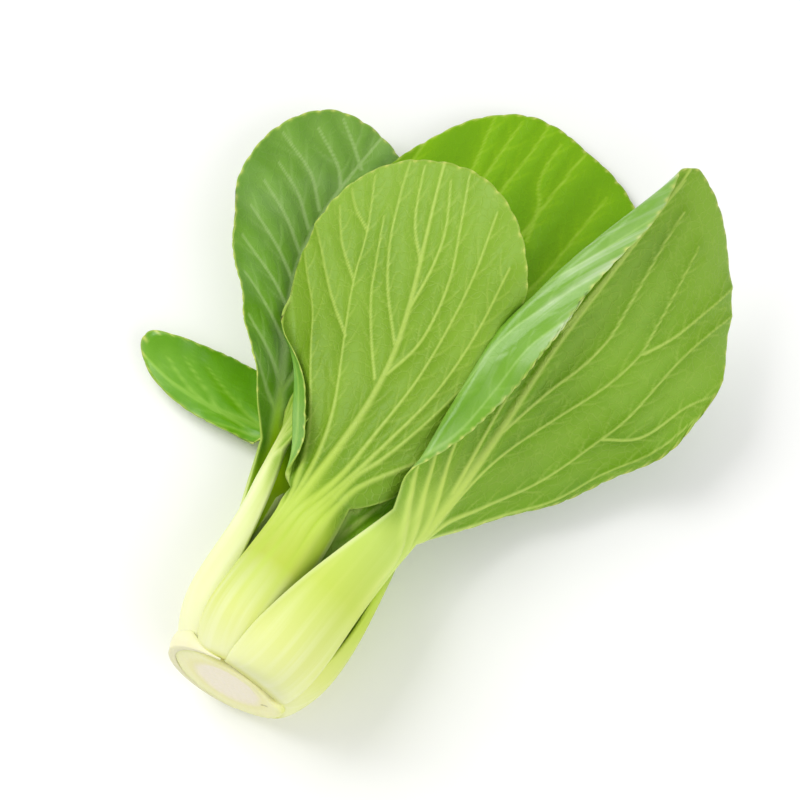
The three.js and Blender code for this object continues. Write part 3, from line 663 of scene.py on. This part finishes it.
lowLeafRight = dict(
    name="low_leaf_right", around=325, radius=17.2, stalk=72, blade=112, lean=(34, 4, -2, 16, 10),
    sweep=(6, 6, 4, 2, 2), twist=(0, -10, -25, -58, -62), base=22, mid=38, neck=20, left=24, right=20,
    widest=0.55, cup=(70, 60, 40, 12, 5), rowStep=1.4, columns=80, phase=2.7,
    under=dict(edging=0),
    upper=dict(edging=0))
# the front leaf's under side is paler between its veins: painted light on the quilted panels
frontLeaf = dict(
    name="front_leaf", around=109, foot=4, radius=16, stalk=64, blade=120, lean=(31, -2, -9, 22, 12),
    sweep=(3, -7, 2, 3, 8), base=20, mid=30, neck=23, left=46, right=44, widest=0.58, round=(2.3, 2.3),
    shoulder=0.75, cup=(80, 68, 23, 18, 8), rowStep=0.7, columns=200, phase=0.2, ruffle=0.8, quilt=0.9,
    ribShift=(0, -3, -3.7, 4.2, 2.8), ribWide=2.2,
    rollLeft=dict(start=(30, 25, 12, 43, 62), over=5, turn=(0, 0, 150, 150, 0)),
    rollRight=dict(start=(30, 25, 17, 30, 45), over=6, turn=(0, 0, -45, -55, -20)),
    under=dict(blade=("#6e9426", "#84a838"), tip="#8bb042", between="#8caf48", puffLightAndShade=0.7),
    upper=dict(blade=("#76a848", "#84b352"), bloomAndSheen=0.1),
    veinPaths=[
        [(-12, -6.5), (0, -9), (21, -16), (49, -29), (63, -34), (80, -44)],
        [(-14, -5), (8, -7), (28, -10), (53, -16), (74, -19), (92, -19), (112, -22)],
        [(55, -16), (68, -27), (91, -42)],
        [(74, -19), (86, -28), (99, -33)],
        [(92, -19), (99, -26), (106, -30)],
        [(44, 0), (52, -4), (62, -8), (72, -11), (80, -12), (98, -14)],
        [(57, 3), (74, -5), (90, -9), (105, -10), (119, -10)],
        [(86, 4), (96, -1), (106, -3), (118, -4)],
        [(70, 5), (85, 9), (98, 10), (114, 7)],
        [(47, 4), (61, 12), (81, 16), (99, 15), (117, 13)],
        [(-12, -1), (9, 4), (28, 8), (50, 15), (68, 20), (86, 24), (106, 26)],
        [(-10, 2), (6, 6), (26, 13), (46, 22), (66, 29), (90, 35)],
        [(-10, 4), (9, 8), (18, 13), (35, 22), (54, 32)],
        [(-12, 7), (2, 9), (10, 13), (20, 22), (30, 31)],
        [(-14, -8), (-4, -12), (10, -20), (26, -30), (44, -40)]])
lowLeafLeft = dict(
    name="low_leaf_left", around=222, radius=13.8, stalk=81, blade=81, thick=7, lean=(32, -3, 27, 96, 62),
    sweep=(-3, 6, -6, -54, -45), twist=(0, 5, 15, 78, 101), base=20, mid=32, neck=12, left=13.4, right=14.6,
    widest=0.3, cup=(70, 50, 35, -12, 5), rowStep=0.9, columns=110, phase=3.3, ribShift=(0, 0, 4, 8, 5),
    veinWide=1.3,
    upper=dict(limeStalk, blade=("#62a016", "#74ae28"), tip="#7eac48", between="#569210", puffLightAndShade=0.6,
        veins="#9fca58", vein=0.5, fine=0.2, net=0, netHeight=0.15, bloomAndSheen=0.06, coat=0.25),
    veinPaths=[
        [(12, 6), (22, 3), (34, -2)],
        [(18, 7), (32, 6), (44, 1), (56, -5)],
        [(34, 10), (45, 8), (54, 2), (64, -3)],
        [(46, 9), (58, 5), (70, 0)],
        [(10, 7), (26, 11), (44, 13)]])
backLeafRight = dict(
    name="back_leaf_right", around=280, foot=-1.6, radius=15, stalk=87.6, blade=154,
    lean=(34, 2, -8, 7, 0.5), sweep=(0, -1, -5, 7.5, 15), twist=(0, 0, -3, -17, -19), base=22, mid=40,
    neck=22, left=57, right=49.5, widest=0.51, round=(3.1, 2.9), cup=(70, 50, 35, 12, 0), rowStep=0.75,
    columns=160, phase=1.2, ribShift=(0, 0, -2, -6, -1), veinWide=1.4,
    upper=dict(blade=("#77ab1c", "#86b824"), tip="#84b426", between="#6ca015", puffLightAndShade=0.6,
        veins="#aed254", vein=0.6, fine=0.24, bloomAndSheen=0, rough=0.42, coat=0.08, shine=0.25),
    veinPaths=[
        [(60, 12), (92, 20), (118, 25), (136, 31), (148, 35)],
        [(40, 4), (70, 8), (96, 10), (118, 12), (141, 14), (152, 16)],
        [(70, -12), (88, -17), (105, -20), (146, -18)],
        [(112, -7), (125, -2), (131, 3), (138, 6), (150, 8)],
        [(30, -8), (60, -22), (90, -32), (122, -38), (138, -40)],
        [(10, -6), (40, -26), (70, -40), (100, -50)],
        [(10, 6), (40, 20), (70, 34), (100, 42), (124, 46)],
        [(0, -6), (20, -20), (44, -36), (70, -48)],
        [(0, 6), (20, 20), (44, 34), (70, 44)],
        [(96, 10), (110, 18), (126, 21), (146, 24)]])
backLeafLeft = dict(
    name="back_leaf_left", around=246, foot=8, radius=8.5, stalk=76, blade=128.5, thick=4.5,
    lean=(22, 7, 7, 9.5, -3), sweep=(-6, -18, -14, -20, -14), twist=(0, 0, -8, 1, 5), base=14, mid=26,
    neck=18, left=39, right=32.5, widest=0.65, round=(2, 1.7), cup=(70, 50, 35, 15, 0), rowStep=0.75,
    columns=160, phase=2.1, ribShift=(0, 0, 3, 6, -18), veinWide=1.35,
    upper=dict(limeStalk, blade=("#68982c", "#78a83a"), tip="#8cb358", between="#588824", puffLightAndShade=0.6,
        veins="#b2d086", vein=0.6, fine=0.2, bloomAndSheen=0.12, rough=0.38, coat=0.3, sheen=0.1),
    veinPaths=[
        [(90, 0), (103, 6), (114, 19)],
        [(101, -6), (109, -3), (120, 7)],
        [(110, -12), (118, -7), (126, -1)],
        [(82, 3), (94, 9), (103, 18)],
        [(72, 5), (84, 12), (95, 22)],
        [(60, 6), (72, 14), (84, 26)],
        [(48, 6), (60, 15), (72, 28)],
        [(36, 6), (46, 14), (58, 26)],
        [(22, 5), (32, 13), (42, 23)],
        [(8, 4), (18, 11), (28, 20)],
        [(20, 4), (44, -6), (70, -16), (98, -26)],
        [(48, 5), (74, -4), (100, -17), (112, -24)],
        [(4, 2), (24, -8), (48, -20), (72, -30)]])
heartLeaf1 = dict(
    name="heart_leaf_1", around=52, foot=7, radius=9.5, stalk=38, blade=50, thick=4, lean=(14, 3, 6, 5, 0),
    twist=(0, 12, 24, 30, 30), base=16, mid=18, neck=14, left=10, right=17, cup=(75, 60, 45, 40, 30),
    rowStep=1.2, columns=60, phase=0.4, ruffle=2, wave=15, quilt=1.2,
    under=heartLook)
heartLeaf2 = dict(
    name="heart_leaf_2", around=150, foot=12, radius=7, stalk=50, blade=66, thick=3.5,
    lean=(14, 3, 0, 2, 4), base=16, mid=17, neck=11, left=16, right=16, cup=(80, 75, 75, 80, 50),
    rowStep=1.6, columns=48, phase=1.5,
    under=heartLook)
heartLeaf3 = dict(
    name="heart_leaf_3", around=268, foot=14, radius=5.5, stalk=40, blade=52, thick=3,
    lean=(12, 2, 0, 2, 2), base=12, mid=13, neck=9, left=11, right=11, cup=(85, 85, 85, 90, 60),
    rowStep=1.6, columns=48, phase=2.5,
    under=heartLook)

for own in (rightLeaf, leftLeaf, lowLeafRight, frontLeaf, lowLeafLeft, backLeafRight,
            backLeafLeft, heartLeaf1, heartLeaf2, heartLeaf3):
    leaf = dict(commonForm, **own)
    piece = makeLeaf(leaf)
    piece.data.materials.append(leafFinish(leaf["name"] + "Underside", dict(underLook, **leaf["under"])))
    piece.data.materials.append(leafFinish(leaf["name"] + "UpperSide", dict(upperLook, **leaf["upper"])))
    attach(piece, "root")
    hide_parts(leaf["name"])
    print("leaf", leaf["name"], len(piece.data.polygons) * 2, "triangles")

# The cut end: a bevelled disc whose face shows pith, ring and rind, with a core behind it. Lengths in mm.
stemLook = dict(sides=200, rings=64, bevel=1.6, pithRadius=11.4, pithSunk=0.45, knifeMarks=0.05,
                core=((18.4, 5.2), (17, 6.2), (14.5, 8.1), (11, 10.1), (6.3, 11.6), (2, 13.6), (0.01, 13.8)),
                feetAt=1.15, feetSpan=(1.25, 0.75), feetShare=0.62, feetStart=0.6,
                crack=(13.6, -1.5), crackHalf=1.3, crackWide=0.22, crackHigh=0.3, crackWay=(0.8, 0.6),
                mottle=6.25, mottleShift=2.4, fibre=1.111, bump=0.3, glow=3,
                pith=("#fbf0dc", "#faf0da"), ring=("#f3efa8", "#f8f6ba"), rind=("#f6f6b6", "#dfe686"),
                speck="#efe8b8", crackColour="#7d7435")


def makeStem(look):
    bevelled, sides = look["bevel"], look["sides"]
    flat = knife["radius"] - bevelled
    face = [(r, 0) for r in np.linspace(0.01, flat, look["rings"])]
    bevel = [(flat + bevelled * math.sin(a), bevelled - bevelled * math.cos(a))
             for a in np.linspace(0.15, math.pi / 2, 8)]
    profile = np.array(face + bevel + list(look["core"]))
    angle = np.linspace(0, 2 * math.pi, sides, endpoint=False)
    wobble = 1 + 0.012 * np.sin(3 * angle + 1) + 0.008 * np.sin(7 * angle)
    # the rounded feet of the upper leaves come in over the rim, nearly to the pith
    shrink = look["feetShare"] * smoothstep(*look["feetSpan"], np.abs(angle - look["feetAt"]))
    rim = np.maximum(profile[:, 0] - look["pithRadius"] - look["feetStart"], 0)
    radius = (profile[:, 0][:, None] - rim[:, None] * shrink[None, :]) * wobble[None, :]
    x, z = radius * np.cos(angle), radius * np.sin(angle)
    # faint knife marks across the face, and pith that has sunk a little as it dried
    height = profile[:, 1][:, None] + look["knifeMarks"] * np.sin(x * 2.1 + z * 0.7) * (radius > 0.5)
    pith = 1 - smoothstep(look["pithRadius"] - 2.5, look["pithRadius"] + 0.5, radius)
    height += look["pithSunk"] * pith * (profile[:, 1] < 2)[:, None]
    # one short dry crack
    (crackX, crackZ), (wayX, wayZ) = look["crack"], look["crackWay"]
    along = np.clip((x - crackX) * wayX + (z - crackZ) * wayZ, -look["crackHalf"], look["crackHalf"])
    off = (x - crackX - along * wayX) ** 2 + (z - crackZ - along * wayZ) ** 2
    crack = np.exp(-off / look["crackWide"] ** 2)
    height += look["crackHigh"] * crack
    i, j = np.meshgrid(np.arange(len(profile) - 1), np.arange(sides), indexing="ij")
    a, b = (i * sides + j).ravel(), (i * sides + (j + 1) % sides).ravel()
    faces = np.column_stack([a, b, b + sides, a + sides])[:, ::-1]
    return meshObject("stem", offCut(x, height, z).reshape(-1, 3), faces, {"radius": radius, "crack": crack})


def stemFinish(look):
    # moist cut flesh: pinkish pith, thin green ring, fibrous cream rind
    material, tree = newMaterial("cutStemFlesh")
    radius, crack = (addNode(tree, "Attribute", attribute_name=key).outputs["Fac"]
                     for key in ("radius", "crack"))
    place = addNode(tree, "TexCoord").outputs["Object"]
    noise = addNode(tree, "TexNoise", {
        "Vector": place, "Scale": 1 / (look["mottle"] * mm), "Detail": 4})
    shifted = addNode(tree, "Math", {
        0: noise.outputs["Fac"], 1: look["mottleShift"], 2: radius}, operation="MULTIPLY_ADD")
    middle = look["mottleShift"] / 2
    share = addNode(tree, "MapRange", {
        0: shifted.outputs[0], 1: middle, 2: knife["radius"] + middle})
    ring = look["pithRadius"] / knife["radius"]
    ramp = addNode(tree, "ValToRGB", {0: share.outputs[0]}, stops=(
        (0, look["pith"][0]), (ring - 0.06, look["pith"][1]), (ring + 0.08, look["ring"][0]),
        (ring + 0.2, look["ring"][1]), (0.88, look["rind"][0]), (1, look["rind"][1])))
    fibre = addNode(tree, "TexVoronoi", {
        "Vector": place, "Scale": 1 / (look["fibre"] * mm)}).outputs["Distance"]
    speck = addNode(tree, "MapRange", {0: fibre, 1: 0.2, 2: 0.7, 3: 0, 4: 0.25}).outputs[0]
    colour = ramp.outputs["Color"]
    for factor, tone in ((speck, look["speck"]), (crack, look["crackColour"])):
        colour = addNode(tree, "Mix", {0: factor, 6: colour, 7: tone}, data_type="RGBA").outputs[2]
    finishMaterial(tree, fibre, 0.3, look["bump"], {
        "Base Color": colour, "Roughness": 0.42, "IOR": 1.38, "Subsurface Weight": 0.2,
        "Subsurface Radius": (1, 0.9, 0.6), "Subsurface Scale": look["glow"] * mm})
    return material


stem = makeStem(stemLook)
stem.data.materials.append(stemFinish(stemLook))
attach(stem, "root")
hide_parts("stem")
print("stem made")

# What an outer leaf left when it was trimmed: a collar, high at the left, that runs out low. In mm.
stubLook = dict(around=188, halfSpan=90, inner=19.5, flare=2.2, height=9, wall=(2.6, 2.7, 0.9), runOut=0.93,
                runOutBow=1.6, uneven=0.05, ripple=0.15, rows=26, columns=150, fibreWide=2, fibreLong=20,
                bump=0.3, glow=3, fibreColour="#ecebb8",
                scale=((0, "#f0e9c4"), (0.3, "#f1ecc6"), (0.75, "#efefc0"), (1, "#e4e7a0")))


def makeStub(look):
    rows, columns = look["rows"], look["columns"]
    up, even = np.meshgrid(np.linspace(0, 1, rows), np.linspace(1, -1, columns), indexing="ij")
    fade = 1 - look["runOut"] * (0.5 - 0.5 * np.cos(math.pi * even)) ** look["runOutBow"]
    angle = np.radians(look["around"] + look["halfSpan"] * even)
    height = look["height"] * up * fade * (1 + look["uneven"] * np.sin(even * 9))
    height += look["ripple"] * np.sin(even * 23) * up * fade
    innerRadius = look["inner"] + look["flare"] * up * fade
    wall = alongKeys(look["wall"], up * 2) * np.sqrt(fade)
    outer, inner = (offCut(radius * np.cos(angle), height, radius * np.sin(angle))
                    for radius in (innerRadius + wall, innerRadius))
    faces, _ = shellFaces(rows, columns)
    points = np.vstack([outer.reshape(-1, 3), inner.reshape(-1, 3)])
    return meshObject("trimmed_stub", points, faces, {"up": np.tile(up.ravel(), 2)})


def stubFinish(look):
    # pale scale, a little dry and creamy at its cut foot and its thin rim
    material, tree = newMaterial("trimmedScale")
    up = addNode(tree, "Attribute", attribute_name="up").outputs["Fac"]
    place = addNode(tree, "TexCoord").outputs["Object"]
    across, along = (1 / (look[key] * mm) for key in ("fibreWide", "fibreLong"))
    stretched = addNode(tree, "Mapping", {"Vector": place, "Scale": (across, along, across)})
    noise = addNode(tree, "TexNoise", {"Vector": stretched.outputs[0], "Scale": 1, "Detail": 3})
    ramp = addNode(tree, "ValToRGB", {0: up}, stops=look["scale"])
    colour = addNode(tree, "Mix", {
        0: noise.outputs["Fac"], 6: ramp.outputs["Color"], 7: look["fibreColour"]}, data_type="RGBA")
    finishMaterial(tree, noise.outputs["Fac"], 0.3, look["bump"], {
        "Base Color": colour.outputs[2], "Roughness": 0.45, "IOR": 1.4, "Subsurface Weight": 0.2,
        "Subsurface Radius": (1, 1, 0.5), "Subsurface Scale": look["glow"] * mm})
    return material


stub = makeStub(stubLook)
stub.data.materials.append(stubFinish(stubLook))
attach(stub, "root")
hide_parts("trimmed_stub")
print("trimmed scale made")

# A plain pale table and soft studio light, in metres and watts; the patches are in mm.
studio = dict(tableSize=6, tablePatch=50, table=("#fdfdfc", "#f8f8f6"), world=0.52, lookAt=(0, 0, 0.02),
              keyPower=5.6, keySize=0.6, keyFrom=(-0.6, 0.05, 0.75),
              fillPower=3.6, fillSize=0.8, fillFrom=(0.65, -0.2, 0.6))

bpy.ops.mesh.primitive_plane_add(size=studio["tableSize"], location=(0, 0, 0))
floor = bpy.context.object
floor.name = "table"
# matt laminate: nearly white and without a highlight, barely mottled
floorMaterial, floorTree = newMaterial("paleTable")
patches = studio["tableSize"] / (studio["tablePatch"] * mm)
floorNoise = addNode(floorTree, "TexNoise", {"Scale": patches, "Detail": 2})
floorTone = addNode(floorTree, "Mix", {
    0: floorNoise.outputs["Fac"], 6: studio["table"][0], 7: studio["table"][1]}, data_type="RGBA")
floorShader = addNode(floorTree, "BsdfPrincipled", {
    "Base Color": floorTone.outputs[2], "Roughness": 0.9})
addNode(floorTree, "OutputMaterial", {"Surface": floorShader.outputs[0]})
floor.data.materials.append(floorMaterial)

world = bpy.data.worlds.new("softRoom")
bpy.context.scene.world = world
world.use_nodes = True
background = world.node_tree.nodes["Background"]
background.inputs["Color"].default_value = (1, 1, 1, 1)
background.inputs["Strength"].default_value = studio["world"]

for key in ("key", "fill"):
    light = bpy.data.lights.new(key + "Panel", "AREA")
    light.energy = studio[key + "Power"]
    light.size = studio[key + "Size"]
    lamp = bpy.data.objects.new(key + "Panel", light)
    lamp.location = Vector(studio[key + "From"])
    lamp.rotation_mode = "QUATERNION"
    lamp.rotation_quaternion = (Vector(studio["lookAt"]) - lamp.location).to_track_quat("-Z", "Y")
    bpy.context.collection.objects.link(lamp)

# A camera high over the head's cut end, turned so that the stalks run up to the right.
lens = dict(azimuth=27.7, elevation=71.4, focal=85, sensor=36, nearest=0.01, away=0.64, aim=(4.7, 111, 30))
azimuth, elevation = math.radians(lens["azimuth"]), math.radians(lens["elevation"])
back = Vector((math.sin(azimuth) * math.cos(elevation), -math.cos(azimuth) * math.cos(elevation),
               math.sin(elevation)))
camera = bpy.data.objects.new("camera", bpy.data.cameras.new("camera"))
camera.data.lens = lens["focal"]
camera.data.sensor_width = lens["sensor"]
camera.data.clip_start = lens["nearest"]
camera.rotation_mode = "QUATERNION"
camera.location = Vector(toRow(lens["aim"])) + back * lens["away"]
camera.rotation_quaternion = (-back).to_track_quat("-Z", "Y")
bpy.context.collection.objects.link(camera)
bpy.context.scene.camera = camera
bpy.context.scene.view_settings.view_transform = "Standard"
print("studio ready")
